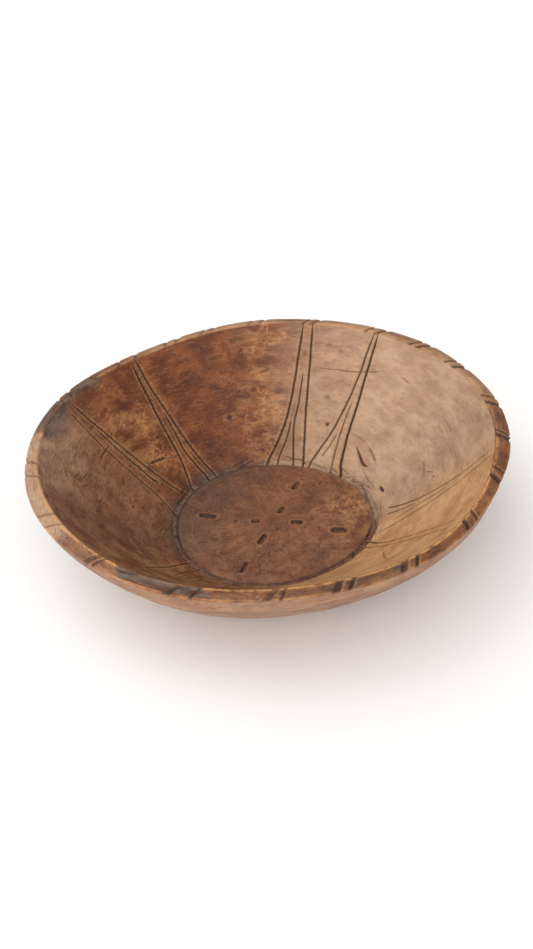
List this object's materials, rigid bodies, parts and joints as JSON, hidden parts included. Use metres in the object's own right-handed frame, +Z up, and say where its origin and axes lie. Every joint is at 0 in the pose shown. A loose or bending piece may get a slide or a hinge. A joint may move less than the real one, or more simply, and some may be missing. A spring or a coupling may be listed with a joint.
{
  "type": "carved wooden bowl",
  "caption": "Wide shallow bowl carved from solid wood, with a flat notched rim, engraved fans on the sloping inner wall and a flat floor, for serving or holding food.",
  "frame": {"origin": "on the table, under the middle of the rim outline's box", "axes": "+Z up out of the bowl's mouth, +X to the right and +Y away from the side that faces the viewer"},
  "size_m": [0.3184, 0.3226, 0.08],
  "materials": {
    "carved_wood": "satin"
  },
  "bodies": {
    "root": {"carved_bowl": "carved_wood"}
  },
  "joints": []
}
